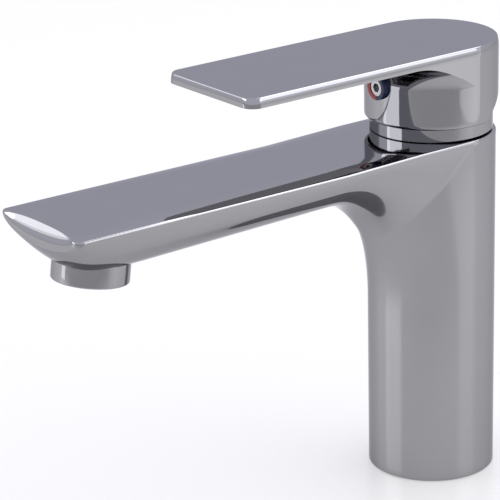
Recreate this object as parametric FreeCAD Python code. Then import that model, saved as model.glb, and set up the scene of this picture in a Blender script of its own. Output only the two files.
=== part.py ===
import FreeCAD, Part
import math
import os

os.makedirs("parts", exist_ok=True)

V = FreeCAD.Vector

# Frame: millimetres, +Z up. The column stands on the Z axis, foot at Z = 0; the spout points along -Y.

# Body: column, spout and the swept corner between them.
COLUMN_R = 23.3  # column radius and half width of the spout
SPOUT_REACH = 168.3  # column axis to the front edge
SPOUT_DEPTH = 17.8  # depth of the D section at the root
NOSE_DEPTH = 19.2  # depth of the D section where the nose starts to rise
TIP_DEPTH = 7.2  # height of the front face
NOSE_LENGTH = 32.8  # length over which the underside rises to the tip
NOSE_POWER = 4.0  # how late that rise comes
TIP_CORNER_R = 3.0  # front corners seen from above
TIP_LEDGE = 0.05  # underside of the tip inside the outline, from these corners on
TOP_EDGE_R = 0.6  # rim around the flat top
TOP_EDGE_SHARE = 0.98  # share of that rim that is rounded
BEND_REACH = 34.0  # forward half axis of the elliptical corner under the spout
BEND_RISE = 47.0  # upward half axis of that corner
WALL = 3.8  # column wall
GASKET_W = 1.8  # ring let into the foot
GASKET_H = 1.5

# Water ways and the threaded ports of the inlet block.
SEAT_DEPTH = 25.8  # flat top down to the cartridge seat
BLOCK_HEIGHT = 24.0  # inlet block under the seat
INLET_THREAD_R = 4.5  # M10 x 1, wall at the minor diameter
INLET_THREAD_DEPTH = 11.0
INLET_X = 9.5
STUD_THREAD_R = 3.4  # M8, wall at the minor diameter
STUD_THREAD_DEPTH = 11.0
STUD_Y = 10.0
WATERWAY_R = 3.8  # drilled outlet way
CHANNEL_HALF_WIDTH = 12.0  # flat channel along the spout
CHANNEL_HALF_HEIGHT = 2.6
ROOF = 3.0  # metal over that channel
PEG_R = 1.6  # pegs that turn the cartridge the right way round
PEG_H = 2.5

# Cartridge.
NUT_WALL = 2.1  # threaded skirt of the nut around the cartridge
CARTRIDGE_BASE_H = 6.5
FIXED_DISC_H = 5.0
MOVING_DISC_H = 4.0
DRIVER_PLATE_H = 2.5
HOUSING_WALL = 2.6
PORT_R = 2.5  # hot and cold ports
OUTLET_PORT_R = 3.4
PORT_SIDE_SHARE = 0.473  # places of the ports, as shares of the cavity radius
PORT_FRONT_SHARE = 0.2
OUTLET_BACK_SHARE = 0.54
PEG_SIDE_SHARE = 0.66  # places of the pegs, as shares of the cartridge radius
PEG_BACK_SHARE = 0.3
SEAL_WALL = 1.4
DISC_TRAVEL = 5.0  # slide of the upper disc between shut and open
MIXING_SHARE = 0.82  # hollow of the upper disc, as a share of its radius
MIXING_LAP_SHARE = 0.4  # lap over the closed ports, as a share of the slide
KEY_R = 1.0  # keys between driver and upper disc
KEY_SIDE_SHARE = 0.7
YOKE_NECK_R = 11.0
YOKE_RISE = 3.4  # yoke top over the pivot
STEM_ARM = 11.6  # pivot down to the ball of the stem
STEM_SIDE = 7.0
BALL_R = 3.0
DRIVER_WALL = 1.7  # metal around the hole for that ball
THROAT_SHARE = 0.75  # stem above the ball, as a share of its radius
PIN_R = 2.0
PIVOT_RISE = 4.8  # pivot over the flat top
PIN_CLEARANCE = 0.05
PIN_INSET = 1.0  # pin ends inside the neck
NOTCH_COUNT = 6  # key notches in the nut
NOTCH_HALF = 1.5
NOTCH_H = 1.6

# Collar.
COLLAR_SET_IN = 1.1  # collar inside the column's face
COLLAR_GAP = 0.7  # collar inside the lever's skirt
COLLAR_WALL = 1.5
COLLAR_RISE = 7.4  # collar top over the pivot
COLLAR_SEAL_H = 0.3
COLLAR_SEAL_INSET = 0.5  # seal inside the collar's edge
ORING_H = 1.2  # ring between collar and nut

# Lever.
LEVER_R = 24.1  # hub radius and half width of the plate
LEVER_REACH = 99.2  # column axis to the front edge of the plate
LEVER_TOP_Z = 163.4  # overall height
LEVER_RISE = 33.6  # lever over the flat top of column and spout
PLATE_H = 3.5
PLATE_CORNER_R = 5.0
PLATE_EDGE_R = 0.6
FLARE_REACH = 12.5  # forward half axis of the hollow flare between hub and plate
FLARE_RISE = 10.5  # upward half axis of that flare
SKIRT_RISE = 0.2  # foot of the skirt over the pivot
SKIRT_WALL = 1.2
SKIRT_EDGE_R = 0.9
RELIEF_Y = 5.2  # where the slanted cut under the back of the skirt starts
RELIEF_ANGLE = 36.0
LIFT_ANGLE = 25.0
CEILING_H = 6.4  # metal over the hollow of the hub
SOCKET_R = 9.0  # boss that takes the stem
SOCKET_GAP = 2.0  # boss over the collar
MARK_RISE = 6.7  # screw and temperature mark over the collar
MARK_R = 4.5
MARK_DEPTH = 1.6  # recess that holds the mark
MARK_PROUD = 1.8  # mark outside the hub
SCREW_R = 3.0  # M6
SCREW_INSET = 0.3  # screw inside the face of the mark
HEX_ACROSS = 3.0
HEX_DEPTH = 2.5

# Aerator.
OUTLET_REACH = 149.0
OUTLET_DROP = 23.1  # rim of the aerator under the flat top
OUTLET_TILT = 8.0  # the stream leans forward
AERATOR_R = 13.25
AERATOR_THREAD_R = 11.9  # M24 x 1
AERATOR_SHELL_H = 7.5
AERATOR_THREAD_H = 4.5
AERATOR_WASHER_H = 1.0
AERATOR_LIP_H = 1.2
AERATOR_EDGE_R = 0.6
SHELL_WALL = 1.5
LIP_W = 1.0
SCREEN_H = 0.8
CAGE_WALL = 1.2
CAGE_PLATE_H = 2.0
JET_R = 0.8
JET_ROWS = 3
WASHER_SHARE = 0.7  # hole of the washer, as a share of its radius

# Gaps: fixed pieces that fit into each other, and pieces that move past each other.
SNUG = 0.05
RUNNING = 0.3

# Levels and radii that follow from the sizes above.
top_z = LEVER_TOP_Z - LEVER_RISE
seat_z = top_z - SEAT_DEPTH
block_z = seat_z - BLOCK_HEIGHT
pivot_z = top_z + PIVOT_RISE
ball_z = pivot_z - STEM_ARM
skirt_z = pivot_z + SKIRT_RISE
collar_top = pivot_z + COLLAR_RISE
mark_z = collar_top + MARK_RISE
base_top = seat_z + CARTRIDGE_BASE_H
fixed_top = base_top + FIXED_DISC_H
moving_top = fixed_top + MOVING_DISC_H
plate_top = moving_top + DRIVER_PLATE_H
collar_r = min(COLUMN_R - COLLAR_SET_IN, LEVER_R - SKIRT_WALL - COLLAR_GAP)
collar_bore_r = collar_r - COLLAR_WALL
nut_r = collar_bore_r - ORING_H
cartridge_r = nut_r - NUT_WALL
cavity_r = cartridge_r - HOUSING_WALL
moving_r = cavity_r - RUNNING - DISC_TRAVEL / 2
foot_bore_r = COLUMN_R - WALL
gasket_r = COLUMN_R - (WALL - GASKET_W) / 2
brim_z = top_z - TOP_EDGE_R
bend_y = -(COLUMN_R + BEND_REACH)
bend_z = top_z - SPOUT_DEPTH - BEND_RISE
nose_y = -(SPOUT_REACH - NOSE_LENGTH)
corner_y = -(SPOUT_REACH - TIP_CORNER_R)


def cylinder(radius, z0, z1, x=0.0, y=0.0):
    return Part.makeCylinder(radius, z1 - z0, V(x, y, z0))


def ring(outer, inner, z0, z1, x=0.0, y=0.0):
    return cylinder(outer, z0, z1, x, y).cut(cylinder(inner, z0, z1, x, y))


def rod(start, end, radius):
    """Cylinder between two points."""
    return Part.makeCylinder(radius, (end - start).Length, start, end - start)


def block(x0, x1, y0, y1, z0, z1):
    return Part.makeBox(x1 - x0, y1 - y0, z1 - z0, V(x0, y0, z0))


def prism(outline, z0, z1):
    """Closed list of edges in the plane Z = 0, raised from z0 to z1."""
    solid = Part.Face(Part.Wire(outline)).extrude(V(0, 0, z1 - z0))
    solid.translate(V(0, 0, z0))
    return solid


def turned(profile):
    """Closed list of edges in the plane Y = 0, turned about Z."""
    return Part.Face(Part.Wire(profile)).revolve(V(0, 0, 0), V(0, 0, 1), 360)


def line(a, b):
    return Part.LineSegment(a, b).toShape()


def arc(a, b, c):
    return Part.Arc(a, b, c).toShape()


def union(shapes):
    return shapes[0].multiFuse(shapes[1:]).removeSplitter()


def tongue(half_width, reach, corner_r):
    """Plan outline: half round at the back about the axis, straight sides, rounded front corners."""
    inset = corner_r * (1 - math.sqrt(0.5))
    side = half_width - corner_r
    front = -reach + corner_r
    return [
        arc(V(half_width, 0, 0), V(0, half_width, 0), V(-half_width, 0, 0)),
        line(V(-half_width, 0, 0), V(-half_width, front, 0)),
        arc(V(-half_width, front, 0), V(-half_width + inset, -reach + inset, 0), V(-side, -reach, 0)),
        line(V(-side, -reach, 0), V(side, -reach, 0)),
        arc(V(side, -reach, 0), V(half_width - inset, -reach + inset, 0), V(half_width, front, 0)),
        line(V(half_width, front, 0), V(half_width, 0, 0)),
    ]


def d_section(centre, inward, half_width=COLUMN_R):
    """Half ellipse bulging along inward, closed by its chord."""
    half_round = arc(V(1, 0, 0), V(0, 1, 0), V(-1, 0, 0))
    normal = V(1, 0, 0).cross(inward)
    side = V(half_width, 0, 0)
    rows = zip(side, inward, normal, centre)
    place = FreeCAD.Matrix(*[value for row in rows for value in row], 0, 0, 0, 1)
    curve = half_round.transformGeometry(place)
    return Part.Wire([curve, line(centre - side, centre + side)])


def fan_section(angle):
    """Section in the plane through the bend's centre line, tilted by angle from level."""
    outward = V(0, math.cos(angle), math.sin(angle))
    inner = 1 / math.hypot(outward.y / BEND_REACH, outward.z / BEND_RISE)
    to_axis = -bend_y / max(outward.y, 1e-9)
    to_brim = (brim_z - bend_z) / max(outward.z, 1e-9)
    outer = min(to_axis, to_brim)
    return d_section(V(0, bend_y, bend_z) + outward * outer, outward * (inner - outer))


def spout_section(y, half_width=COLUMN_R, ledge=0.0):
    """Section across the spout: slightly deeper towards the nose, then rising to the tip."""
    if y > nose_y:
        depth = SPOUT_DEPTH + (NOSE_DEPTH - SPOUT_DEPTH) * (y - bend_y) / (nose_y - bend_y)
    else:
        rise = ((nose_y - y) / NOSE_LENGTH) ** NOSE_POWER
        depth = NOSE_DEPTH - (NOSE_DEPTH - TIP_DEPTH) * rise
    return d_section(V(0, y, brim_z), V(0, 0, TOP_EDGE_R + ledge - depth), half_width)


def steps(start, end, count):
    return [start + (end - start) * i / count for i in range(count + 1)]


def rounded_slab(outline, z0, z1, radius):
    """Flat plate whose upper edge is rounded all the way around."""
    plate = prism(outline, z0, z1)
    upper = [e for e in plate.Edges if e.BoundBox.ZMin > z1 - 1e-6]
    return plate.makeFillet(radius, upper)


def body_outside():
    corner = math.atan2(brim_z - bend_z, -bend_y)
    lower = Part.makeLoft([fan_section(a) for a in steps(0.0, corner, 8)], True, False)
    spout_sections = [fan_section(a) for a in steps(corner, math.pi / 2, 6)]
    spout_sections += [spout_section(y) for y in steps(bend_y, nose_y, 4)[1:]]
    spout_sections += [spout_section(y) for y in steps(nose_y, corner_y, 6)[1:]]
    spout = Part.makeLoft(spout_sections, True, False)
    inner_r = TIP_CORNER_R - TIP_LEDGE
    tip_sections = []
    for swing in steps(0.0, math.pi / 2, 6):
        half_width = COLUMN_R - TIP_CORNER_R + inner_r * math.cos(swing)
        tip_sections.append(spout_section(corner_y - inner_r * math.sin(swing), half_width, TIP_LEDGE))
    tip = Part.makeLoft(tip_sections, True, False)
    foot = cylinder(COLUMN_R, 0, bend_z)
    back = Part.makeCylinder(COLUMN_R, brim_z - bend_z, V(0, 0, bend_z), V(0, 0, 1), 180)
    outline = tongue(COLUMN_R, SPOUT_REACH, TIP_CORNER_R)
    slab = rounded_slab(outline, brim_z, top_z, TOP_EDGE_R * TOP_EDGE_SHARE)
    return union([foot, back, lower, spout, tip, slab])


# Ports of the cartridge: hot on the left, cold on the right, mixed water behind them.
inlet_ports = [(sign * PORT_SIDE_SHARE * cavity_r, -PORT_FRONT_SHARE * cavity_r, PORT_R) for sign in (-1, 1)]
outlet_port = (0.0, OUTLET_BACK_SHARE * cavity_r, OUTLET_PORT_R)
ports = inlet_ports + [outlet_port]
peg_spots = [(sign * PEG_SIDE_SHARE * cartridge_r, PEG_BACK_SHARE * cartridge_r) for sign in (-1, 1)]


def aerator_frame(shape):
    """Moves a piece built upwards from the origin onto the tilted outlet axis."""
    shape.rotate(V(0, 0, 0), V(1, 0, 0), -OUTLET_TILT)
    shape.translate(V(0, -OUTLET_REACH, top_z - OUTLET_DROP))
    return shape


thread_top = AERATOR_SHELL_H + AERATOR_THREAD_H
washer_top = thread_top + AERATOR_WASHER_H
washer_hole_r = WASHER_SHARE * AERATOR_THREAD_R
channel_z = top_z - ROOF - CHANNEL_HALF_HEIGHT
way_z = seat_z - WATERWAY_R - ROOF


def spout_channel():
    """Flat channel with round sides from the bend to the middle of the aerator."""
    y0 = -OUTLET_REACH - CHANNEL_HALF_HEIGHT
    half = CHANNEL_HALF_WIDTH - CHANNEL_HALF_HEIGHT
    z0 = channel_z - CHANNEL_HALF_HEIGHT
    parts = [block(-half, half, y0, bend_y, z0, z0 + 2 * CHANNEL_HALF_HEIGHT)]
    for sign in (1, -1):
        start = V(sign * half, bend_y, channel_z)
        parts.append(rod(start, V(sign * half, y0, channel_z), CHANNEL_HALF_HEIGHT))
    return union(parts)


def body_hollows():
    hollows = [
        cylinder(foot_bore_r, 0, block_z),
        ring(gasket_r, gasket_r - GASKET_W, 0, GASKET_H),
        cylinder(cartridge_r + SNUG, seat_z, top_z),
        cylinder(nut_r + SNUG, plate_top, top_z),
        cylinder(STUD_THREAD_R, block_z, block_z + STUD_THREAD_DEPTH, 0, STUD_Y),
        cylinder(OUTLET_PORT_R, way_z, seat_z, 0, outlet_port[1]),
        spout_channel(),
    ]
    for x, y, radius in inlet_ports:
        mouth_x = math.copysign(INLET_X, x)
        thread_end = block_z + INLET_THREAD_DEPTH
        hollows.append(cylinder(INLET_THREAD_R, block_z, thread_end, mouth_x, y))
        hollows.append(rod(V(mouth_x, y, thread_end - radius), V(x, y, seat_z + radius), radius))
    for x, y in peg_spots:
        hollows.append(cylinder(PEG_R + SNUG, seat_z - PEG_H, seat_z, x, y))
    turn = V(0, -cartridge_r, way_z)
    hollows.append(rod(V(0, outlet_port[1], way_z), turn, WATERWAY_R))
    hollows.append(rod(turn, V(0, bend_y - WATERWAY_R, channel_z), WATERWAY_R))
    hollows.append(Part.makeSphere(WATERWAY_R, turn))
    for radius, s0, s1 in (
        (AERATOR_R + 2 * SNUG, -AERATOR_SHELL_H, AERATOR_SHELL_H),
        (AERATOR_THREAD_R + SNUG, 0, washer_top),
        (washer_hole_r, 0, washer_top + ROOF),
    ):
        hollows.append(aerator_frame(cylinder(radius, s0, s1)))
    return hollows


body = body_outside()
for hollow in body_hollows():
    body = body.cut(hollow)
base_gasket = ring(gasket_r, gasket_r - GASKET_W, 0, GASKET_H)

# Cartridge base with its three sleeve seals, standing on the seat with two pegs.
cartridge_base = cylinder(cartridge_r, seat_z, base_top)
for x, y in peg_spots:
    cartridge_base = cartridge_base.fuse(cylinder(PEG_R, seat_z - PEG_H, seat_z, x, y))
for x, y, radius in ports:
    cartridge_base = cartridge_base.cut(cylinder(radius + SEAL_WALL, seat_z, base_top, x, y))
cartridge_seals = Part.makeCompound([ring(r + SEAL_WALL, r, seat_z, base_top, x, y) for x, y, r in ports])

# Ceramic discs: the fixed one carries the ports, the moving one a hollow that joins them as it slides.
fixed_disc = cylinder(cavity_r - SNUG, base_top, fixed_top)
for x, y, radius in ports:
    fixed_disc = fixed_disc.cut(cylinder(radius, base_top, fixed_top, x, y))
moving_y = DISC_TRAVEL / 2
moving_disc = cylinder(moving_r, fixed_top, moving_top, 0, moving_y)
mixing_r = MIXING_SHARE * moving_r
mixing_front = PORT_R + MIXING_LAP_SHARE * DISC_TRAVEL - PORT_FRONT_SHARE * cavity_r
mixing = cylinder(mixing_r, fixed_top, fixed_top + MOVING_DISC_H / 2, 0, moving_y)
mixing = mixing.common(
    block(-mixing_r, mixing_r, mixing_front, mixing_r + moving_y, fixed_top, moving_top)
)
moving_disc = moving_disc.cut(mixing)

# Driver: a plate keyed into the moving disc, with a block that takes the ball of the stem.
driver_half = BALL_R + DRIVER_WALL
driver_top = ball_z + BALL_R / 2
disc_driver = cylinder(moving_r, moving_top, plate_top, 0, moving_y)
grip = block(-driver_half, driver_half, -driver_half, driver_half, plate_top, driver_top)
disc_driver = disc_driver.fuse(grip)
for sign in (1, -1):
    key_x = sign * KEY_SIDE_SHARE * moving_r
    disc_driver = disc_driver.fuse(cylinder(KEY_R, moving_top - KEY_R, moving_top, key_x, moving_y))
    moving_disc = moving_disc.cut(cylinder(KEY_R + SNUG, moving_top - KEY_R, moving_top, key_x, moving_y))
ball_hole_r = BALL_R + RUNNING
disc_driver = disc_driver.cut(cylinder(ball_hole_r, ball_z - BALL_R - RUNNING, driver_top))

# Yoke: flange with a slot that guides the driver, neck that carries the pin of the stem.
flange_z = plate_top + RUNNING
flange_top = driver_top + RUNNING
yoke_top = pivot_z + YOKE_RISE
guide_half = driver_half + RUNNING
stem_half = STEM_SIDE / 2
slot_half = stem_half + RUNNING
sweep = math.tan(math.radians(LIFT_ANGLE))
swept_half = stem_half / math.cos(math.radians(LIFT_ANGLE)) + RUNNING
slot_front = -(swept_half + (pivot_z - flange_top) * sweep)
slot_back = swept_half + YOKE_RISE * sweep
yoke = cylinder(cavity_r - RUNNING, flange_z, flange_top)
yoke = yoke.cut(block(-guide_half, guide_half, -guide_half - DISC_TRAVEL, guide_half, flange_z, flange_top))
neck = cylinder(YOKE_NECK_R, flange_top, yoke_top)
neck = neck.cut(block(-slot_half, slot_half, slot_front, slot_back, flange_top, yoke_top))
cartridge_yoke = yoke.fuse(neck).removeSplitter()
pin_half = YOKE_NECK_R - PIN_INSET
pin_hole = rod(V(-pin_half, 0, pivot_z), V(pin_half, 0, pivot_z), PIN_R + PIN_CLEARANCE)
cartridge_yoke = cartridge_yoke.cut(pin_hole)

# Housing: cup over discs and yoke with a neck around the yoke; the nut presses on its shoulder.
shoulder_z = flange_top + RUNNING + HOUSING_WALL
housing_neck_r = YOKE_NECK_R + PIN_CLEARANCE + HOUSING_WALL
housing_top = top_z + COLLAR_SEAL_H
cartridge_housing = cylinder(cartridge_r, base_top, shoulder_z)
cartridge_housing = cartridge_housing.fuse(cylinder(housing_neck_r, shoulder_z, housing_top))
cartridge_housing = cartridge_housing.cut(cylinder(cavity_r, base_top, flange_top + RUNNING))
cartridge_housing = cartridge_housing.cut(cylinder(YOKE_NECK_R + PIN_CLEARANCE, flange_top, housing_top))

# Retaining nut: threaded skirt around the cartridge, flange on its shoulder, notches for a key.
nut_top = pivot_z - RUNNING
retaining_nut = ring(nut_r, cartridge_r + SNUG, plate_top + RUNNING, shoulder_z)
retaining_nut = retaining_nut.fuse(ring(nut_r, housing_neck_r + SNUG, shoulder_z, nut_top)).removeSplitter()
for i in range(NOTCH_COUNT):
    notch = block(housing_neck_r, nut_r, -NOTCH_HALF, NOTCH_HALF, nut_top - NOTCH_H, nut_top)
    notch.rotate(V(0, 0, 0), V(0, 0, 1), 360 * i / NOTCH_COUNT)
    retaining_nut = retaining_nut.cut(notch)

# Collar: plain below the pivot, then a ball zone about the pivot, held on the nut by a ring.
seal_top = top_z + COLLAR_SEAL_H
collar_seal = ring(collar_r - COLLAR_SEAL_INSET, collar_bore_r, top_z, seal_top)


def zone(radius, z0, z1):
    """Cylinder up to the pivot, then part of a ball of the same radius about it."""
    lower = cylinder(radius, z0, pivot_z)
    upper = Part.makeSphere(radius, V(0, 0, pivot_z)).common(cylinder(2 * radius, pivot_z, z1))
    return lower.fuse(upper).removeSplitter()


collar = zone(collar_r, seal_top, collar_top).cut(zone(collar_bore_r, seal_top, collar_top))
oring_r = ORING_H / 2
oring_z = (seal_top + nut_top - NOTCH_H) / 2
collar_oring = Part.makeTorus(nut_r + oring_r, oring_r, V(0, 0, oring_z))

# Stem: ball in the driver, square shank up into the boss of the lever, pin across it.
ceiling_z = LEVER_TOP_Z - CEILING_H
shank = block(-stem_half, stem_half, -stem_half, stem_half, pivot_z - STEM_ARM / 2, ceiling_z)
throat = cylinder(THROAT_SHARE * BALL_R, ball_z, pivot_z - STEM_ARM / 2)
lever_stem = union([shank, throat, Part.makeSphere(BALL_R, V(0, 0, ball_z))])
pin_end = pin_half - RUNNING
pivot_pin = rod(V(-pin_end, 0, pivot_z), V(pin_end, 0, pivot_z), PIN_R)
lever_stem = lever_stem.cut(rod(V(-STEM_SIDE, 0, pivot_z), V(STEM_SIDE, 0, pivot_z), PIN_R))

# Lever: plate, hub with a hollow flare under the plate, skirt cut away at the back, boss for the stem.
plate_z = LEVER_TOP_Z - PLATE_H
flare_z = plate_z - FLARE_RISE
skirt_r = LEVER_R - SKIRT_WALL


def hub():
    """Turned hub: plain skirt, rounded foot, hollow elliptical flare that runs out under the plate."""
    wide = LEVER_R + FLARE_REACH
    oval = Part.Ellipse(V(wide + FLARE_REACH, 0, flare_z), V(wide, 0, plate_z), V(wide, 0, flare_z))
    edge = SKIRT_EDGE_R * (1 - math.sqrt(0.5))
    foot_r = LEVER_R - SKIRT_EDGE_R
    foot_mid = V(LEVER_R - edge, 0, skirt_z + edge)
    foot = [V(foot_r, 0, skirt_z), foot_mid, V(LEVER_R, 0, skirt_z + SKIRT_EDGE_R)]
    flare = Part.ArcOfEllipse(oval, math.pi / 2, math.pi).toShape()
    top = [V(wide, 0, plate_z + PLATE_H / 2), V(0, 0, plate_z + PLATE_H / 2)]
    return turned([
        line(V(0, 0, skirt_z), foot[0]),
        arc(*foot),
        line(foot[2], V(LEVER_R, 0, flare_z)),
        flare,
        line(V(wide, 0, plate_z), top[0]),
        line(top[0], top[1]),
        line(top[1], V(0, 0, skirt_z)),
    ])


lever_outline = tongue(LEVER_R, LEVER_REACH, PLATE_CORNER_R)
lever = hub().common(prism(lever_outline, skirt_z, plate_z + PLATE_H / 2))
lever = lever.fuse(rounded_slab(lever_outline, plate_z, LEVER_TOP_Z, PLATE_EDGE_R))
socket_z = collar_top + SOCKET_GAP
cup_r = mark_z - collar_top - 2 * RUNNING
hollow = cylinder(skirt_r, skirt_z, ceiling_z)
hollow = hollow.cut(cylinder(SOCKET_R, socket_z, ceiling_z))
hollow = hollow.cut(rod(V(0, -LEVER_R, mark_z), V(0, 0, mark_z), cup_r))
lever = lever.cut(hollow)
relief = block(-LEVER_R, LEVER_R, 0, 2 * LEVER_R, -LEVER_R, 0)
relief.rotate(V(0, 0, 0), V(1, 0, 0), RELIEF_ANGLE)
relief.translate(V(0, RELIEF_Y, skirt_z))
lever = lever.cut(relief)
socket_half = stem_half + SNUG
lever = lever.cut(block(-socket_half, socket_half, -socket_half, socket_half, skirt_z, ceiling_z))
mark_y = -LEVER_R + MARK_DEPTH
lever = lever.cut(rod(V(0, -2 * LEVER_R, mark_z), V(0, mark_y, mark_z), MARK_R))
lever = lever.cut(rod(V(0, mark_y, mark_z), V(0, 0, mark_z), SCREW_R + SNUG))
lever = lever.removeSplitter()

# Grub screw with a hexagon socket, and the two halves of the temperature mark around it.
mark_face = -LEVER_R - MARK_PROUD
screw_face = mark_face + SCREW_INSET
set_screw = rod(V(0, screw_face, mark_z), V(0, -stem_half, mark_z), SCREW_R)
hex_r = HEX_ACROSS / math.sqrt(3)
hex_angles = steps(0, 2 * math.pi, 6)
hex_points = [V(hex_r * math.cos(a), 0, hex_r * math.sin(a)) for a in hex_angles]
hexagon = Part.Face(Part.makePolygon(hex_points)).extrude(V(0, HEX_DEPTH, 0))
hexagon.translate(V(0, screw_face, mark_z))
set_screw = set_screw.cut(hexagon)
mark = rod(V(0, mark_face, mark_z), V(0, mark_y, mark_z), MARK_R - SNUG)
mark = mark.cut(rod(V(0, mark_face, mark_z), V(0, mark_y, mark_z), SCREW_R + SNUG))
half_space = block(-MARK_R, 0, mark_face, mark_y, mark_z - MARK_R, mark_z + MARK_R)
index_red = mark.common(half_space)
index_blue = mark.cut(half_space)

# Aerator: threaded shell with an inner lip, screen on the lip, jet cage, washer against the spout.
cage_r = AERATOR_THREAD_R - SHELL_WALL
lip_r = cage_r - LIP_W
shell = union([cylinder(AERATOR_R, 0, AERATOR_SHELL_H), cylinder(AERATOR_THREAD_R, 0, thread_top)])
foot_edge = [e for e in shell.Edges if e.BoundBox.ZMax < 1e-6]
shell = shell.makeFillet(AERATOR_EDGE_R, foot_edge)
shell = shell.cut(cylinder(cage_r, AERATOR_LIP_H, thread_top)).cut(cylinder(lip_r, 0, AERATOR_LIP_H))
aerator_shell = aerator_frame(shell)
screen_top = AERATOR_LIP_H + SCREEN_H
screen = cylinder(cage_r - SNUG, AERATOR_LIP_H, screen_top)
cage_floor = thread_top - CAGE_PLATE_H
cage = ring(cage_r - SNUG, cage_r - CAGE_WALL, screen_top, cage_floor)
cage = cage.fuse(cylinder(cage_r - SNUG, cage_floor, thread_top)).removeSplitter()
for row in range(1, JET_ROWS + 1):
    row_r = row * lip_r / (JET_ROWS + 1)
    for angle in steps(0, 2 * math.pi, 6 * row)[1:]:
        jet = cylinder(JET_R, 0, thread_top, row_r * math.cos(angle), row_r * math.sin(angle))
        screen = screen.cut(jet)
        if row == 2:
            cage = cage.cut(jet)
aerator_screen = aerator_frame(screen)
aerator_insert = aerator_frame(cage)
aerator_washer = aerator_frame(ring(AERATOR_THREAD_R, washer_hole_r, thread_top, washer_top))

pieces = {
    "body": body,
    "base_gasket": base_gasket,
    "cartridge_base": cartridge_base,
    "cartridge_seals": cartridge_seals,
    "fixed_disc": fixed_disc,
    "moving_disc": moving_disc,
    "disc_driver": disc_driver,
    "cartridge_yoke": cartridge_yoke,
    "cartridge_housing": cartridge_housing,
    "retaining_nut": retaining_nut,
    "collar_seal": collar_seal,
    "collar": collar,
    "collar_oring": collar_oring,
    "lever_stem": lever_stem,
    "pivot_pin": pivot_pin,
    "lever": lever,
    "set_screw": set_screw,
    "index_red": index_red,
    "index_blue": index_blue,
    "aerator_shell": aerator_shell,
    "aerator_screen": aerator_screen,
    "aerator_insert": aerator_insert,
    "aerator_washer": aerator_washer,
}
for name, shape in pieces.items():
    shape.exportStep("parts/" + name + ".step")
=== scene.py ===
import math

import bmesh
import bpy
import numpy as np
from mathutils import Matrix


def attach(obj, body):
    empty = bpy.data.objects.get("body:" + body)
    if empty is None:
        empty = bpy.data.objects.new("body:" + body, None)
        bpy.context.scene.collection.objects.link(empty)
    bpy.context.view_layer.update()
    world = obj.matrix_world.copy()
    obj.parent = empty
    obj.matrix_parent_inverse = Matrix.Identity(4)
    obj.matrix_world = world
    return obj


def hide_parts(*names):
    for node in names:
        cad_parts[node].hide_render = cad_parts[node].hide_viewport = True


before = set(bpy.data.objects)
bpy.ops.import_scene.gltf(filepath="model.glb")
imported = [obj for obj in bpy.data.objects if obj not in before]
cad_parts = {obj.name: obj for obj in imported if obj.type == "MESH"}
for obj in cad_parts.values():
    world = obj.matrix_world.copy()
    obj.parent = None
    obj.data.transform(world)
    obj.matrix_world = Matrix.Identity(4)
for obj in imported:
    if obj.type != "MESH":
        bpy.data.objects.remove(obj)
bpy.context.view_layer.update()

# Body: one brass casting, ground, polished and chromed. The round column sweeps into a flat-topped spout
# of D section that thins to a lip; the bores for cartridge, hoses, stud and aerator are machined into it.
MM = 0.001
COLUMN_R = 23.3 * MM
BODY_TOP = 129.8 * MM
RIM_R = 0.6 * MM
SPOUT_REACH = 168.3 * MM
SPOUT_DEPTH = 17.8 * MM
NOSE_DEPTH = 19.2 * MM
LIP_DEPTH = 7.2 * MM
NOSE_LENGTH = 32.8 * MM
NOSE_POWER = 4.0
LIP_CORNER_R = 3.0 * MM
LIP_LEAN = 2.4 * MM
LEAN_RUN = 10.0 * MM
SOFT_WIDTH = 9.0 * MM
SOFT_DROP = 1.3 * MM
SOFT_DROP_LIP = 0.4 * MM
SOFT_DROP_COLUMN = 0.6 * MM
SOFT_DEPTH = 7.0 * MM
BEND_REACH = 34.0 * MM
BEND_RISE = 47.0 * MM
FOOT_EDGE_R = 0.5 * MM
SUPPORT = 0.4 * MM  # flat band beside a rounding, which keeps the flat face flat in reflections
MERGE = 0.002 * MM
SHARP_ANGLE = math.radians(32.0)

brim_z = BODY_TOP - RIM_R
bend_y = -(COLUMN_R + BEND_REACH)
bend_z = BODY_TOP - SPOUT_DEPTH - BEND_RISE
nose_y = -(SPOUT_REACH - NOSE_LENGTH)


def points(x, y, z):
    """Stacks three arrays, spread to a common shape, into points."""
    return np.stack(np.broadcast_arrays(x, y, z), axis=-1).astype(float)


def sheet(grid):
    """A grid of points (rows, columns, 3) as vertices and one quad per cell."""
    rows, columns = grid.shape[:2]
    index = np.arange(rows * columns).reshape(rows, columns)
    quads = np.stack([index[:-1, :-1], index[:-1, 1:], index[1:, 1:], index[1:, :-1]], axis=-1)
    return grid.reshape(-1, 3), quads.reshape(-1, 4).tolist()


def band(loops):
    """Closed loops of points (loops, points, 3) joined by quads, each loop running back to its start."""
    return sheet(np.concatenate([loops, loops[:, :1]], axis=1))


def cap(loop):
    """One flat face that fills a closed loop of points."""
    return loop, [list(range(len(loop)))]


def closed(loops):
    """A solid: loops joined one after the other, the first and the last filled."""
    return [band(loops), cap(loops[0]), cap(loops[-1])]


def shell(name, sheets):
    """Joins sheets into one mesh: doubles merged, faces turned outwards, smooth up to the sharp angle."""
    starts = np.cumsum([0] + [len(vertices) for vertices, _ in sheets])
    faces = [[i + start for i in face] for start, (_, part) in zip(starts, sheets) for face in part]
    mesh = bpy.data.meshes.new(name)
    mesh.from_pydata(np.concatenate([vertices for vertices, _ in sheets]), [], faces)
    work = bmesh.new()
    work.from_mesh(mesh)
    bmesh.ops.remove_doubles(work, verts=work.verts, dist=MERGE)
    bmesh.ops.recalc_face_normals(work, faces=work.faces)
    work.to_mesh(mesh)
    work.free()
    mesh.shade_smooth()
    mesh.set_sharp_from_angle(angle=SHARP_ANGLE)
    piece = bpy.data.objects.new(name, mesh)
    bpy.context.scene.collection.objects.link(piece)
    return piece


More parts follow.
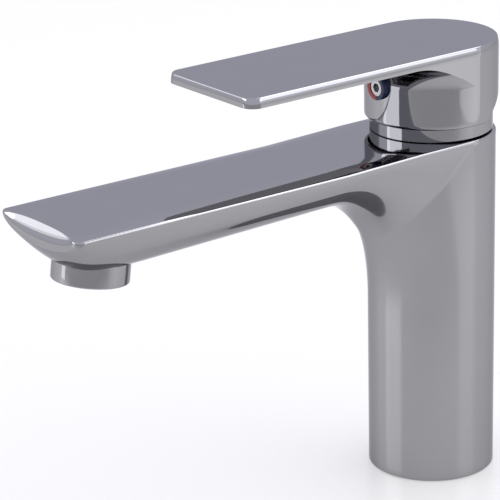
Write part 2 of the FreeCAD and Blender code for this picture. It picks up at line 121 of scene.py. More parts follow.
def ring_loop(radius, z, count=96, x=0.0, y=0.0):
    """A circle about a vertical axis."""
    turn = np.arange(count) * 2 * np.pi / count
    return points(x + radius * np.cos(turn), y + radius * np.sin(turn), z)


def bored(name, steps, count=96, x=0.0, y=0.0):
    """A stepped round cutter about a vertical axis, from a list of (radius, z)."""
    return shell(name, closed(np.stack([ring_loop(radius, z, count, x, y) for radius, z in steps])))


def turned(profile, count=160):
    """A closed profile of (radius, z) carried round the vertical axis."""
    turn = np.arange(count) * 2 * np.pi / count
    profile = np.concatenate([profile, profile[:1]])
    radius = profile[:, :1]
    grid = points(radius * np.cos(turn), radius * np.sin(turn), profile[:, 1:])
    return [band(grid)]


def machined(piece, cutters):
    """Takes the cutters' volumes out of a piece in turn, clears slivers and removes the cutters."""
    for cutter in cutters:
        step = piece.modifiers.new(cutter.name, "BOOLEAN")
        step.operation = "DIFFERENCE"
        step.solver = "EXACT"
        step.object = cutter
    graph = bpy.context.evaluated_depsgraph_get()
    mesh = bpy.data.meshes.new_from_object(piece.evaluated_get(graph))
    work = bmesh.new()
    work.from_mesh(mesh)
    bmesh.ops.remove_doubles(work, verts=work.verts, dist=MERGE)
    bmesh.ops.dissolve_degenerate(work, edges=work.edges, dist=MERGE)
    work.to_mesh(mesh)
    work.free()
    piece.modifiers.clear()
    rough = piece.data
    piece.data = mesh
    bpy.data.meshes.remove(rough)
    mesh.name = piece.name
    mesh.shade_smooth()
    mesh.set_sharp_from_angle(angle=SHARP_ANGLE)
    for cutter in cutters:
        bpy.data.meshes.remove(cutter.data)
    return piece


def body_stations():
    """Centre, inward depth and half width of every D section: up the column, round the bend, along the spout.

    Round the bend the section planes fan out about a level line; the inner edge follows an ellipse about it
    and the outer edge the column axis, then the flat top. In the lip the half width follows the corner arcs.
    """
    up = np.linspace(FOOT_EDGE_R, bend_z, 30)[:-1]
    column = points(0, 0, up), points(0, np.full_like(up, -COLUMN_R), 0), np.full_like(up, COLUMN_R)
    corner = math.atan2(brim_z - bend_z, -bend_y)
    fan = np.concatenate([np.linspace(0, corner, 60)[:-1], np.linspace(corner, np.pi / 2, 60)])
    outward = points(0, np.cos(fan), np.sin(fan))
    inner = 1 / np.hypot(np.cos(fan) / BEND_REACH, np.sin(fan) / BEND_RISE)
    to_axis = -bend_y / np.maximum(np.cos(fan), 1e-9)
    to_brim = (brim_z - bend_z) / np.maximum(np.sin(fan), 1e-9)
    outer = np.minimum(to_axis, to_brim)
    middle = np.array([0, bend_y, bend_z]) + outward * outer[:, None]
    bend = middle, outward * (inner - outer)[:, None], np.full_like(fan, COLUMN_R)
    lip_y = -SPOUT_REACH + LIP_CORNER_R
    swing = np.linspace(0, np.pi / 2, 20)
    arm = np.linspace(bend_y, nose_y, 40)[1:-1]
    nose = np.linspace(nose_y, lip_y, 40)[:-1]
    y = np.concatenate([arm, nose, lip_y - LIP_CORNER_R * np.sin(swing)])
    half = np.concatenate([np.full(len(arm) + len(nose), COLUMN_R),
                           COLUMN_R - LIP_CORNER_R + LIP_CORNER_R * np.cos(swing)])
    straight = SPOUT_DEPTH + (NOSE_DEPTH - SPOUT_DEPTH) * (y - bend_y) / (nose_y - bend_y)
    rise = np.clip((nose_y - y) / NOSE_LENGTH, 0, 1) ** NOSE_POWER
    depth = np.where(y > nose_y, straight, NOSE_DEPTH - (NOSE_DEPTH - LIP_DEPTH) * rise)
    spout = points(0, y, brim_z), points(0, 0, RIM_R - depth), half
    return [np.concatenate(parts) for parts in zip(column, bend, spout)]


def softened(grid):
    """Lets the flat top fall off towards its edges by the square of the way into a soft band along them.

    The fall is full at the bend, less on the column and towards the lip; below the rim it fades out smoothly.
    """
    x, y, z = np.moveaxis(grid, -1, 0)
    from_middle = np.where(y > 0, np.hypot(x, y), np.abs(x))
    into_band = np.clip((from_middle - COLUMN_R + SOFT_WIDTH) / SOFT_WIDTH, 0, 1)
    height = np.clip((z - brim_z + SOFT_DEPTH) / SOFT_DEPTH, 0, 1)
    fall = np.interp(y, [-SPOUT_REACH, bend_y, -COLUMN_R], [SOFT_DROP_LIP, SOFT_DROP, SOFT_DROP_COLUMN])
    return points(x, y, z - fall * into_band ** 2 * height ** 2 * (3 - 2 * height))


def body_skin():
    """Sheets of the outside: half ellipses over the stations, back half round, lip, rim, flat top and foot.

    The lip's front face is upright at its lower edge and leans back towards the top by the square of the
    height. The lean is full in the middle and runs out to nothing at the corners, where the rim's rounding
    takes over.
    """
    centre, inward, half = body_stations()
    t = np.linspace(0, np.pi, 121)
    x = half[:, None] * np.cos(t)
    front = centre[:, None] + points(x, 0, 0) + np.sin(t)[:, None] * inward[:, None]
    upright = np.flatnonzero((np.abs(centre[:, 1]) < 1e-9) & (centre[:, 2] <= brim_z + 1e-9))
    level = np.flatnonzero(centre[:, 2] >= brim_z - 1e-9)
    heights = centre[upright, 2]
    back = points(COLUMN_R * np.cos(t), COLUMN_R * np.sin(t), heights[:, None])
    # The rim runs round the back, down the far side, round the lip and back up the near side.
    far = front[level, -1]
    near = front[level, 0][::-1]
    lip = front[-1, ::-1]
    low = np.concatenate([back[-1], far[1:-1], lip, near[1:-1]])
    out = np.concatenate([
        points(np.cos(t), np.sin(t), 0),
        points(-1, np.zeros(len(far) - 2), 0),
        points(0, -np.ones(len(lip)), 0),
        points(1, np.zeros(len(near) - 2), 0),
    ])
    lip_y = -SPOUT_REACH + LIP_CORNER_R
    arc_x = np.sign(low[:, 0]) * (COLUMN_R - LIP_CORNER_R)
    swung = points(low[:, 0] - arc_x, low[:, 1] - lip_y, 0) / LIP_CORNER_R
    on_arc = (low[:, 1] < lip_y) & (np.abs(low[:, 0]) > COLUMN_R - LIP_CORNER_R - 1e-9)
    out = np.where(on_arc[:, None], swung, out)
    before = len(t) + len(far) - 2
    fullness = np.zeros(len(low))
    fullness[before:before + len(lip)] = np.sin(t)
    wall = np.linspace(0, 1, 17)[:, None]
    sides = points(low[:, 0], low[:, 1], low[:, 2] + (brim_z - low[:, 2]) * wall)
    turn = np.linspace(0, np.pi / 2, 9)[1:, None, None]
    brim = points(low[:, 0], low[:, 1], brim_z)
    inset = out * RIM_R * (1 - fullness)[:, None]
    rounding = brim - inset * (1 - np.cos(turn)) + np.array([0, 0, RIM_R]) * np.sin(turn)
    rim = np.concatenate([sides, rounding])
    rim[..., 1] += LIP_LEAN * fullness * ((rim[..., 2] - low[:, 2]) / (BODY_TOP - low[:, 2])) ** 2
    flat = rim[-1] - out * SUPPORT
    rim = np.concatenate([rim, flat[None]])
    # The top is ruled across, each row between two points of the rim that lie opposite each other.
    half_turn = len(t) // 2
    on_far = flat[half_turn:before]
    on_near = np.concatenate([flat[half_turn::-1], flat[:before + len(lip) - 1:-1]])
    across = (1 - np.cos(t))[:, None] / 2
    top = on_near[:, None] + (on_far - on_near)[:, None] * across
    # Close to the lip the rows bend back with its leaning face.
    closeness = np.interp(top[..., 1], [-SPOUT_REACH, -SPOUT_REACH + LEAN_RUN], [1, 0])
    top[..., 1] += LIP_LEAN * closeness * np.sin(t)
    top = np.concatenate([top, flat[None, before:before + len(lip)][:, ::-1]])
    foot_turn = np.linspace(0, np.pi / 2, 5)
    foot_r = np.append(COLUMN_R - FOOT_EDGE_R * (1 - np.cos(foot_turn)), COLUMN_R - FOOT_EDGE_R - SUPPORT)
    foot_z = np.append(FOOT_EDGE_R * (1 - np.sin(foot_turn)), 0)
    round_t = np.concatenate([t, t[1:-1] + np.pi])
    foot = points(foot_r[:, None] * np.cos(round_t), foot_r[:, None] * np.sin(round_t), foot_z[:, None])
    soft = [sheet(softened(front)), sheet(softened(back)), band(softened(rim)), sheet(softened(top))]
    return soft + [band(foot), cap(foot[-1])]


OUTLET_TILT = math.radians(8.0)
OUTLET_Y = -149.0 * MM
OUTLET_Z = 106.7 * MM


def onto_outlet(piece):
    """Moves a mesh built upwards from the origin onto the outlet axis, which leans forward."""
    piece.data.transform(Matrix.Translation((0, OUTLET_Y, OUTLET_Z)) @ Matrix.Rotation(-OUTLET_TILT, 4, "X"))
    return piece


HOSE_SPACE_R = 19.5 * MM
BLOCK_Z = 80.0 * MM
THREAD_END_Z = 91.0 * MM
STUD_R = 3.4 * MM
STUD_Y = 10.0 * MM
INLET_R = 4.5 * MM
INLET_X = 9.5 * MM
INLET_Y = -2.96 * MM
GROOVE_R = 22.3 * MM
GROOVE_DEPTH = 1.5 * MM
GROOVE_WALL_R = 20.5 * MM
GROOVE_WALL_DROP = 0.7 * MM
GROOVE_INNER_R = 19.0 * MM
CARTRIDGE_R = 17.45 * MM
SEAT_Z = 104.0 * MM
NUT_R = 19.55 * MM
NUT_Z = 122.0 * MM
OUTLET_R = 13.35 * MM
OUTLET_THREAD_R = 11.95 * MM
OUTLET_STEP = 7.5 * MM
WASHER_SEAT = 13.0 * MM
WATERWAY_R = 8.33 * MM
WATERWAY_END = 16.0 * MM
PAST = 2.0 * MM  # how far a cutter stands out of the face it enters

gasket_groove = np.array([
    [GROOVE_R, -PAST], [GROOVE_R, GROOVE_DEPTH], [GROOVE_WALL_R, GROOVE_DEPTH],
    [GROOVE_WALL_R, GROOVE_WALL_DROP], [GROOVE_INNER_R, GROOVE_WALL_DROP], [GROOVE_INNER_R, -PAST],
])
outlet_steps = [
    (OUTLET_R, -OUTLET_STEP), (OUTLET_R, OUTLET_STEP), (OUTLET_THREAD_R, OUTLET_STEP),
    (OUTLET_THREAD_R, WASHER_SEAT), (WATERWAY_R, WASHER_SEAT), (WATERWAY_R, WATERWAY_END),
]
cartridge_steps = [(CARTRIDGE_R, SEAT_Z), (CARTRIDGE_R, NUT_Z), (NUT_R, NUT_Z), (NUT_R, BODY_TOP + PAST)]
inlet_steps = [(INLET_R, BLOCK_Z - PAST), (INLET_R, THREAD_END_Z)]
body = shell("body_casting", body_skin())
machined(body, [
    bored("hose_space", [(HOSE_SPACE_R, -PAST), (HOSE_SPACE_R, BLOCK_Z)], 128),
    shell("gasket_recess", turned(gasket_groove, 128)),
    bored("cartridge_bore", cartridge_steps, 128),
    bored("stud_thread", [(STUD_R, BLOCK_Z - PAST), (STUD_R, THREAD_END_Z)], 48, 0, STUD_Y),
    bored("hot_thread", inlet_steps, 48, -INLET_X, INLET_Y),
    bored("cold_thread", inlet_steps, 48, INLET_X, INLET_Y),
    onto_outlet(bored("aerator_bore", outlet_steps)),
])


class Socket:
    """A node's output in Python arithmetic: each operator adds one Math node."""

    def __init__(self, finish, socket):
        self.finish = finish
        self.socket = socket

    def _math(self, operation, a, b):
        return self.finish.node("ShaderNodeMath", {"operation": operation}, {0: a, 1: b})

    def __add__(self, other):
        return self._math("ADD", self, other)

    def __mul__(self, other):
        return self._math("MULTIPLY", self, other)

    def __pow__(self, other):
        return self._math("POWER", self, other)

    __radd__ = __add__
    __rmul__ = __mul__


class Finish:
    """A surface finish: node() adds any node to its material, the shader's own sockets are set by paint()."""

    def __init__(self, name):
        self.material = bpy.data.materials.new(name)
        self.material.use_nodes = True
        self.tree = self.material.node_tree
        self.shader = self.tree.nodes["Principled BSDF"]

    def node(self, kind, settings, inputs, output=0):
        """Adds a node: its settings first, then values or links for its sockets; returns one output."""
        made = self.tree.nodes.new(kind)
        for key, value in settings.items():
            setattr(made, key, value)
        for key, value in inputs.items():
            self.feed(made.inputs[key], value)
        return Socket(self, made.outputs[output])

    def feed(self, socket, value):
        """Links an output into a socket, or sets the socket's own value."""
        if isinstance(value, Socket):
            self.tree.links.new(value.socket, socket)
        else:
            socket.default_value = value

    def place(self, scale):
        """Object coordinates stretched by a scale per axis."""
        where = self.node("ShaderNodeTexCoord", {}, {}, "Object")
        return self.node("ShaderNodeMapping", {}, {"Vector": where, "Scale": scale})

    def grain(self, scale, detail=3.0, roughness=0.5):
        """Noise between 0 and 1 with a cell size of 1/scale metres, stretched where the scales differ."""
        return self.node("ShaderNodeTexNoise", {}, {"Vector": self.place(scale), "Scale": 1.0,
                                                    "Detail": detail, "Roughness": roughness})

    def tint(self, factor, dark, light):
        """A colour between two, by a factor."""
        return self.node("ShaderNodeMix", {"data_type": "RGBA"},
                         {0: factor, 6: (*dark, 1), 7: (*light, 1)}, 2)

    def relief(self, height, distance):
        """A bump of that height in metres, where the pattern goes from 0 to 1."""
        return self.node("ShaderNodeBump", {}, {"Strength": 1.0, "Distance": distance, "Height": height})

    def paint(self, **sockets):
        """Feeds the shader's sockets, named in small letters with underscores; returns the material."""
        for name, value in sockets.items():
            self.feed(self.shader.inputs[name.replace("_", " ").title().replace("Ior", "IOR")], value)
        return self.material


def plated(name, flow):
    """Polished chrome: a faint cloud in the plating, fine polishing lines along the flow, traces of water."""
    chrome = Finish(name)
    cloud = chrome.grain((60, 60, 60))
    lines = chrome.grain(tuple(2500 / f for f in flow), 2.0)
    traces = chrome.grain((240, 240, 240), 4.0, 0.6)
    colour = chrome.tint(cloud, (0.318, 0.318, 0.327), (0.336, 0.336, 0.344))
    rough = 0.035 + 0.03 * lines + 0.05 * traces ** 4
    return chrome.paint(base_color=colour, metallic=1.0, roughness=rough,
                        specular_tint=(0.60, 0.60, 0.62, 1), normal=chrome.relief(cloud, 0.00002))


body.data.materials.clear()
body.data.materials.append(plated("body_chrome", (1, 1, 14)))
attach(body, "body")
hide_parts("body")


# Base gasket: a moulded ring of black rubber, pressed into the groove in the foot. It seals the tap to the
# basin and keeps the chrome off the glaze.
def dress(node, material):
    """Gives a CAD node a finish in its material slots."""
    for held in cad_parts[node].material_slots:
        held.material = material


def rubber(name, dust):
    """Moulded rubber: matt, with a fine grain and pale dust in its pores."""
    soft = Finish(name)
    pores = soft.grain((3000, 3000, 3000), 2.0)
    smear = soft.grain((180, 180, 180))
    colour = soft.tint(smear * pores, (0.004, 0.004, 0.005), (0.004 + dust, 0.004 + dust, 0.005 + dust))
    return soft.paint(base_color=colour, roughness=0.6 + 0.3 * smear, specular_ior_level=0.15,
                      normal=soft.relief(pores, 0.00003))


dress("base_gasket", rubber("gasket_rubber", 0.05))

# Aerator: a chromed brass shell screwed up into the spout, with a moulded screen on its lip, the jet cage
# behind that, and a rubber washer on top against the spout.
AERATOR_R = 13.25 * MM
THREAD_R = 11.9 * MM
SHELL_H = 7.5 * MM
SHELL_TOP = 12.0 * MM
CAGE_R = 10.4 * MM
SHELL_LIP_R = 9.4 * MM
SHELL_LIP_H = 1.2 * MM
SHELL_LIP_EDGE_R = 0.35 * MM
SHELL_EDGE_R = 0.6 * MM
SHELL_MIDDLE = 4.6 * MM


def rounded(r, z, radius, start, stop, count=7):
    """Points of an arc in a turned profile about (r, z), from one angle to another in degrees."""
    turn = np.radians(np.linspace(start, stop, count))
    return np.stack([r + radius * np.cos(turn), z + radius * np.sin(turn)], axis=-1)


aerator_profile = np.concatenate([
    rounded(AERATOR_R - SHELL_EDGE_R, SHELL_EDGE_R, SHELL_EDGE_R, -90, 0),
    [[AERATOR_R, SHELL_MIDDLE], [AERATOR_R, SHELL_H], [THREAD_R, SHELL_H], [THREAD_R, SHELL_TOP],
     [CAGE_R, SHELL_TOP], [CAGE_R, SHELL_LIP_H], [SHELL_LIP_R, SHELL_LIP_H]],
    rounded(SHELL_LIP_R + SHELL_LIP_EDGE_R, SHELL_LIP_EDGE_R, SHELL_LIP_EDGE_R, 180, 270, 5),
])
aerator = onto_outlet(shell("aerator_body", turned(aerator_profile)))
aerator.data.materials.append(plated("aerator_chrome", (1, 1, 1)))
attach(aerator, "body")
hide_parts("aerator_shell")


def moulded(name, dark, light, gloss):
    """Injection-moulded plastic: a slight flow cloud, fine texture from the mould."""
    plastic = Finish(name)
    flow = plastic.grain((120, 120, 300))
    skin = plastic.grain((2200, 2200, 2200), 2.0)
    return plastic.paint(base_color=plastic.tint(flow, dark, light), roughness=gloss + 0.15 * skin,
                         normal=plastic.relief(skin, 0.00001))


screen_plastic = moulded("screen_plastic", (0.62, 0.62, 0.61), (0.74, 0.74, 0.72), 0.4)
dress("aerator_screen", screen_plastic)
dress("aerator_insert", screen_plastic)
dress("aerator_washer", rubber("washer_rubber", 0.03))

# Cartridge base: the grey moulded foot of the cartridge, pegged into its seat in the body. Three rubber
# sleeve seals stand in it, one round each port.
grey_plastic = moulded("cartridge_grey", (0.28, 0.29, 0.30), (0.35, 0.36, 0.37), 0.45)
dress("cartridge_base", grey_plastic)
dress("cartridge_seals", rubber("seal_rubber", 0.02))


# Ceramic discs: two plates of sintered alumina, lapped flat. The lower one is held by the base; the upper one
# slides and turns on it and so mixes and shuts off the water.
def sintered(name):
    """Fired alumina: off-white with fine specks, lapped to a dull shine."""
    ceramic = Finish(name)
    specks = ceramic.grain((1800, 1800, 1800), 4.0, 0.7)
    haze = ceramic.grain((90, 90, 90))
    return ceramic.paint(base_color=ceramic.tint(specks, (0.74, 0.73, 0.69), (0.87, 0.86, 0.84)),
                         roughness=0.12 + 0.12 * haze, normal=ceramic.relief(specks, 0.000004))


lapped = sintered("lapped_ceramic")
dress("fixed_disc", lapped)
dress("moving_disc", lapped)

# Driver and yoke: two mouldings of natural acetal. The driver carries the upper disc; the yoke turns in the
# housing, holds the stem's pin and guides the driver's slide.
acetal = moulded("natural_acetal", (0.70, 0.69, 0.64), (0.79, 0.78, 0.74), 0.32)
dress("disc_driver", acetal)
dress("cartridge_yoke", acetal)


# Stem and pin: a square bar of drawn brass with a ball at its foot, which moves the driver. It swings on a
# ground steel pin pressed through the yoke.
def drawn(name, dark, light, flow, gloss):
    """Drawn or turned metal: fine tool lines along the flow, a light tarnish."""
    metal = Finish(name)
    tool = metal.grain(tuple(3200 / f for f in flow), 2.0)
    tarnish = metal.grain((150, 150, 150), 4.0, 0.6)
    return metal.paint(base_color=metal.tint(tarnish, dark, light), metallic=1.0,
                       roughness=gloss + 0.2 * tool + 0.1 * tarnish, normal=metal.relief(tool, 0.000006))


dress("lever_stem", drawn("stem_brass", (0.55, 0.41, 0.18), (0.75, 0.58, 0.29), (1, 1, 30), 0.2))
dress("pivot_pin", drawn("pin_steel", (0.50, 0.50, 0.50), (0.62, 0.62, 0.61), (30, 1, 1), 0.15))

# Housing and nut: the grey moulded cup holds the discs and the yoke together. The turned brass nut screws
# into the column above it and presses it onto its seat.
dress("cartridge_housing", grey_plastic)
dress("retaining_nut", drawn("nut_brass", (0.56, 0.41, 0.17), (0.76, 0.58, 0.27), (30, 30, 1), 0.22))

# Collar: a thin chromed cap over the nut, straight below the pivot and ball-shaped above it, standing on a
# thin black seal inside its edge and gripped from inside by a rubber ring.
COLLAR_R = 22.2 * MM
COLLAR_BORE_R = 20.7 * MM
COLLAR_FOOT = 129.9 * MM
COLLAR_TOP = 142.0 * MM
PIVOT_Z = 134.6 * MM
COLLAR_EDGE_R = 0.25 * MM


def collar_side(radius):
    """Profile from foot to top: straight up to the pivot, then an arc about it."""
    top = math.asin((COLLAR_TOP - PIVOT_Z) / radius)
    ball = np.linspace(0, top, 24)
    upright = np.linspace(COLLAR_FOOT, PIVOT_Z, 6)[:-1]
    straight = np.stack([np.full_like(upright, radius), upright], axis=-1)
    dome = np.stack([radius * np.cos(ball), PIVOT_Z + radius * np.sin(ball)], axis=-1)
    return np.concatenate([straight, dome])


outside = collar_side(COLLAR_R)
outside[0] += (-COLLAR_EDGE_R, 0)
outside = np.insert(outside, 1, [COLLAR_R, COLLAR_FOOT + COLLAR_EDGE_R], axis=0)
collar = shell("collar_cap", turned(np.concatenate([outside, collar_side(COLLAR_BORE_R)[::-1]])))
collar.data.materials.append(plated("collar_chrome", (1, 1, 1)))
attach(collar, "body")
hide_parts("collar")
collar_rubber = rubber("seam_rubber", 0.01)
dress("collar_seal", collar_rubber)
dress("collar_oring", collar_rubber)

# Lever: a zinc die casting, polished and chromed. A flat plate runs out of a round hub through a hollow
# flare; the hub is hollow, cut away at the back of its skirt, with a boss for the stem and a marked screw.
LEVER_R = 24.1 * MM
LEVER_REACH = 99.2 * MM
LEVER_TOP = 163.4 * MM
PLATE_H = 3.5 * MM
PLATE_CORNER_R = 5.0 * MM
PLATE_EDGE_R = 0.5 * MM
PLATE_LEAN = 0.55 * MM
FLARE_REACH = 12.5 * MM
FLARE_RISE = 10.5 * MM
SKIRT_Z = 134.8 * MM
SKIRT_EDGE_R = 0.9 * MM
SKIRT_FOOT = 1.15 * MM
plate_z = LEVER_TOP - PLATE_H
flare_z = plate_z - FLARE_RISE


def lever_skin():
    """Sheets of the outside: hub front and flare over x and height, plate underside over x and y, the plane
    cheeks beside the flare, back half round, and the plate's edge carried round its outline to the top."""
    t = np.linspace(0, np.pi, 161)
    x = LEVER_R * np.cos(t)
    hub_z = np.linspace(SKIRT_Z + SKIRT_EDGE_R, flare_z, 16)[:-1]
    swing = np.linspace(0, np.pi / 2, 28)
    radius = np.append(np.full_like(hub_z, LEVER_R), LEVER_R + FLARE_REACH * (1 - np.cos(swing)))
    height = np.append(hub_z, flare_z + FLARE_RISE * np.sin(swing))
    hub_y = -np.sqrt(np.maximum(radius[:, None] ** 2 - x ** 2, 0))
    hub = points(x, hub_y, height[:, None])
    corner_x = np.maximum(np.abs(x) - (LEVER_R - PLATE_CORNER_R), 0)
    edge_y = -LEVER_REACH + PLATE_CORNER_R - np.sqrt(np.maximum(PLATE_CORNER_R ** 2 - corner_x ** 2, 0))
    share = np.linspace(0, 1, 60)[:, None]
    under = points(x, hub_y[-1] + (edge_y - hub_y[-1]) * share, plate_z)
    cheek_rows = np.arange(len(hub_z), len(height))
    cheek_share = np.linspace(0, 1, 12)
    cheeks = [points(side, hub_y[cheek_rows, 0][:, None] * cheek_share, height[cheek_rows][:, None])
              for side in (LEVER_R, -LEVER_R)]
    back = points(x, LEVER_R * np.sin(t), height[:, None])
    far = np.concatenate([cheeks[1][-1], under[1:, -1]])
    near = np.concatenate([cheeks[0][-1], under[1:, 0]])[::-1]
    front = under[-1, ::-1]
    low = np.concatenate([back[-1], far[1:-1], front, near[1:-1]])
    out = np.concatenate([
        points(np.cos(t), np.sin(t), 0),
        points(-1, np.zeros(len(far) - 2), 0),
        points(0, -np.ones(len(front)), 0),
        points(1, np.zeros(len(near) - 2), 0),
    ])
    arc_y = -LEVER_REACH + PLATE_CORNER_R
    arc_x = np.sign(low[:, 0]) * (LEVER_R - PLATE_CORNER_R)
    swung = points(low[:, 0] - arc_x, low[:, 1] - arc_y, 0) / PLATE_CORNER_R
    on_arc = (low[:, 1] < arc_y + 1e-9) & (np.abs(low[:, 0]) > LEVER_R - PLATE_CORNER_R)
    out = np.where(on_arc[:, None], swung, out)
    # The edge is upright at its foot, leans in by the square of the height, then rounds over into the top.
    tilt = math.atan(2 * PLATE_LEAN / PLATE_H)
    side_h = PLATE_H - PLATE_EDGE_R * (1 - math.sin(tilt))
    lean = np.linspace(0, 1, 9)[:, None, None]
    foot_line = points(low[:, 0], low[:, 1], plate_z)
    sides = foot_line - out * PLATE_LEAN * (lean * side_h / PLATE_H) ** 2 + np.array([0, 0, side_h]) * lean
    turn = np.linspace(tilt, np.pi / 2, 9)[1:, None, None]
    over = np.array([0, 0, PLATE_EDGE_R]) * (np.sin(turn) - math.sin(tilt))
    rounding = sides[-1] - out * PLATE_EDGE_R * (math.cos(tilt) - np.cos(turn)) + over
    flat = rounding[-1] - out * SUPPORT
    edge = np.concatenate([sides, rounding, flat[None]])
    foot_turn = np.linspace(0, np.pi / 2, 5)
    foot_r = np.append(LEVER_R - SKIRT_EDGE_R * (1 - np.cos(foot_turn)), LEVER_R - SKIRT_FOOT)
    foot_z = np.append(SKIRT_Z + SKIRT_EDGE_R * (1 - np.sin(foot_turn)), SKIRT_Z)
    round_t = np.concatenate([t, t[1:-1] + np.pi])
    foot = points(foot_r[:, None] * np.cos(round_t), foot_r[:, None] * np.sin(round_t), foot_z[:, None])
    sheets = [sheet(hub), sheet(under), sheet(back), band(edge), cap(flat), band(foot), cap(foot[-1])]
    return sheets + [sheet(cheek) for cheek in cheeks]


SKIRT_BORE_R = 22.9 * MM
CEILING_Z = 157.0 * MM
BOSS_R = 9.0 * MM
BOSS_Z = 144.0 * MM
MARK_Z = 148.7 * MM
MARK_R = 4.5 * MM
MARK_DEPTH = 1.6 * MM
SCREW_R = 3.05 * MM
CUP_R = 6.1 * MM
RELIEF_Y = 5.2 * MM
RELIEF_ANGLE = math.radians(36.0)
SOCKET_HALF = 3.55 * MM


def drilled(name, radius, y0, y1, z, count=64):
    """A round cutter along y."""
    turn = np.arange(count) * 2 * np.pi / count
    return shell(name, closed(np.stack([points(radius * np.cos(turn), y, z + radius * np.sin(turn))
                                        for y in (y0, y1)])))


def slab_cut(name, outline, x0, x1):
    """A cutter with an outline of (y, z) carried along x."""
    outline = np.array(outline)
    return shell(name, closed(np.stack([points(x, outline[:, 0], outline[:, 1]) for x in (x0, x1)])))


lever = shell("lever_casting", lever_skin())
hollow = bored("hub_hollow", [(SKIRT_BORE_R, SKIRT_Z - PAST), (SKIRT_BORE_R, CEILING_Z)], 128)
machined(hollow, [
    bored("stem_boss", [(BOSS_R, BOSS_Z), (BOSS_R, CEILING_Z + PAST)]),
    drilled("screw_boss", CUP_R, -LEVER_R, 0, MARK_Z),
])
relief_run = np.array([math.cos(RELIEF_ANGLE), math.sin(RELIEF_ANGLE)]) * 2 * LEVER_R
relief = [(RELIEF_Y, SKIRT_Z), (RELIEF_Y + relief_run[0], SKIRT_Z + relief_run[1]),
          (RELIEF_Y + relief_run[0], SKIRT_Z - LEVER_R), (RELIEF_Y, SKIRT_Z - LEVER_R)]
socket = [(-SOCKET_HALF, SKIRT_Z), (SOCKET_HALF, SKIRT_Z),
          (SOCKET_HALF, CEILING_Z), (-SOCKET_HALF, CEILING_Z)]
machined(lever, [
    hollow,
    slab_cut("skirt_relief", relief, -2 * LEVER_R, 2 * LEVER_R),
    slab_cut("stem_socket", socket, -SOCKET_HALF, SOCKET_HALF),
    drilled("mark_recess", MARK_R, -2 * LEVER_R, -LEVER_R + MARK_DEPTH, MARK_Z, 96),
    drilled("screw_thread", SCREW_R, -LEVER_R, 0, MARK_Z),
])
lever.data.materials.clear()
lever.data.materials.append(plated("lever_chrome", (1, 14, 1)))
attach(lever, "lever")
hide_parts("lever")

# Set screw and temperature mark: a steel grub screw in the hub's front holds the lever on its stem; the
# ring round it is two moulded halves, red on the hot side and blue on the cold side.
dress("set_screw", drawn("screw_steel", (0.42, 0.42, 0.43), (0.60, 0.60, 0.60), (1, 30, 1), 0.18))
dress("index_red", moulded("mark_red", (0.30, 0.02, 0.03), (0.42, 0.05, 0.06), 0.35))
dress("index_blue", moulded("mark_blue", (0.006, 0.012, 0.05), (0.012, 0.022, 0.09), 0.35))

# Studio: a wide floor of pale paper with a slight sheen and an even sky. The paper's colour carries painted
# shade: it darkens towards the viewer in place of light falling off there, and the chrome reflects it as
# darker middles.
# Soft lamps stand in front, on the left (two large, one low and small), high behind and on the right (one
# small and near, one far); the sheen carries them into the column as its upright bands.
FLOOR_HALF = 6.0
FLOOR_Z = -0.2 * MM
VIEWER_SIDE = (0.797, -0.604, 0)
WHITE_SHARE = 0.35
floor_x = np.linspace(-FLOOR_HALF, FLOOR_HALF, 3)
floor = shell("studio_floor", [sheet(points(floor_x[:, None], floor_x, FLOOR_Z))])
paper = Finish("floor_paper")
fibres = paper.grain((400, 400, 400))
towards = paper.node("ShaderNodeVectorMath", {"operation": "DOT_PRODUCT"},
                     {0: paper.place((1, 1, 1)), 1: VIEWER_SIDE}, "Value")
# Painted shade: the paper's colour falls from white to 0.57 towards the viewer, in place of light falling off
# on that side.
shade = paper.node("ShaderNodeMapRange", {"interpolation_type": "SMOOTHSTEP"},
                   {"Value": towards, "From Min": 0.05, "From Max": 0.47})
painted_falloff = paper.tint(shade, (1.0, 1.0, 1.0), (0.57, 0.57, 0.57))
speckle = paper.tint(fibres, (0.74, 0.74, 0.71), (0.76, 0.76, 0.73))
paper_grain_and_falloff = paper.node("ShaderNodeMix", {"data_type": "RGBA", "blend_type": "MULTIPLY"},
                          {0: 1.0, 6: speckle, 7: painted_falloff}, 2)
paper.paint(base_color=paper_grain_and_falloff, roughness=0.28, specular_ior_level=0.5)
seen = paper.node("ShaderNodeLightPath", {}, {}, "Is Camera Ray")
mirrored = paper.node("ShaderNodeLightPath", {}, {}, "Is Glossy Ray")
through = paper.node("ShaderNodeLightPath", {}, {}, "Is Transmission Ray")
# The glow shown to camera, mirror and through rays carries the same painted shade.
white = paper.node("ShaderNodeEmission", {}, {"Color": painted_falloff, "Strength": 1.0})
shaded = Socket(paper, paper.shader.outputs["BSDF"])
shown = paper.node("ShaderNodeMixShader", {},
                   {0: WHITE_SHARE * (seen + mirrored + through), 1: shaded, 2: white})
paper.feed(paper.tree.nodes["Material Output"].inputs["Surface"], shown)
floor.data.materials.append(paper.material)

world = bpy.data.worlds.new("studio_sky")
world.use_nodes = True
world.node_tree.nodes["Background"].inputs["Color"].default_value = (0.95, 0.945, 1.08, 1)
world.node_tree.nodes["Background"].inputs["Strength"].default_value = 1.0
bpy.context.scene.world = world


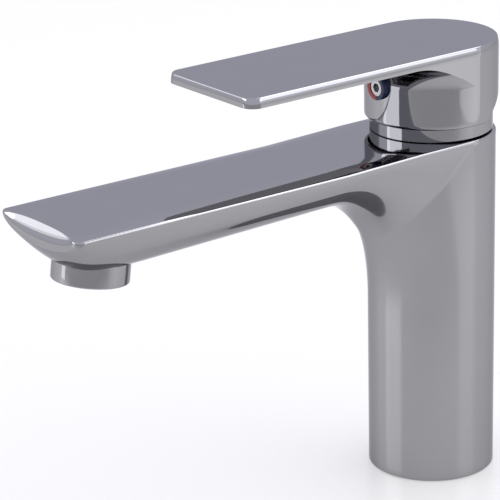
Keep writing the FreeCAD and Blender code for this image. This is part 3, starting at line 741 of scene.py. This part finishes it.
def aimed(place, aim):
    """The matrix of something at a place that looks along its own -z at a point."""
    place = np.array(place)
    back = place - np.array(aim)
    back = back / np.linalg.norm(back)
    right = np.cross((0, 0, 1), back)
    right = right / np.linalg.norm(right)
    up = np.cross(back, right)
    matrix = np.eye(4)
    matrix[:3, :4] = np.stack([right, up, back, place], axis=1)
    return Matrix(matrix.tolist())


LAMP_AIM = (0, -0.05, 0.1)


def soft_lamp(name, place, size, radiance):
    """A soft rectangular lamp facing the object; its power follows from its radiance and its area."""
    lamp = bpy.data.lights.new(name, "AREA")
    lamp.shape = "RECTANGLE"
    lamp.size, lamp.size_y = size
    lamp.energy = radiance * math.pi * size[0] * size[1]
    made = bpy.data.objects.new(name, lamp)
    made.visible_camera = False
    bpy.context.scene.collection.objects.link(made)
    made.matrix_world = aimed(place, LAMP_AIM)


soft_lamp("front_left_lamp", (-0.60, -1.38, 0.55), (0.9, 0.45), 4.6)
soft_lamp("left_lamp", (-1.00, -0.90, 0.58), (0.7, 0.60), 0.9)
# The upper left lamp is four in one another, so that its light fades out towards its edges.
for step, spread in enumerate((0.4, 0.65, 0.9, 1.15)):
    soft_lamp(f"upper_left_lamp_{step}", (-1.00, -0.86, 0.62), (0.7 * spread, 0.44 * spread), 0.7)
soft_lamp("high_back_lamp", (0.0, 0.65, 1.0), (1.8, 0.35), 3.0)
soft_lamp("right_lamp", (0.34, 0.17, 0.16), (0.30, 0.28), 0.35)
soft_lamp("far_right_lamp", (1.22, 0.62, 0.55), (0.75, 0.6), 1.5)
soft_lamp("low_left_lamp", (-0.25, -0.63, 0.05), (0.12, 0.12), 1.0)

# Camera: a long lens at the photograph's viewing angle, above the spout's near side, with the photograph's
# slight roll. Its place and aim were fitted to the outlines of column, hub, plate and spout.
CAMERA_PLACE = (0.66745, -0.58193, 0.39646)
CAMERA_AIM = (-0.03968, -0.05306, 0.08388)
CAMERA_ROLL = math.radians(-1.386)
optics = bpy.data.cameras.new("camera")
optics.sensor_width = 36.0
optics.lens = 184.23
camera = bpy.data.objects.new("camera", optics)
bpy.context.scene.collection.objects.link(camera)
camera.matrix_world = aimed(CAMERA_PLACE, CAMERA_AIM) @ Matrix.Rotation(CAMERA_ROLL, 4, "Z")
bpy.context.scene.camera = camera
bpy.context.scene.view_settings.view_transform = "Standard"
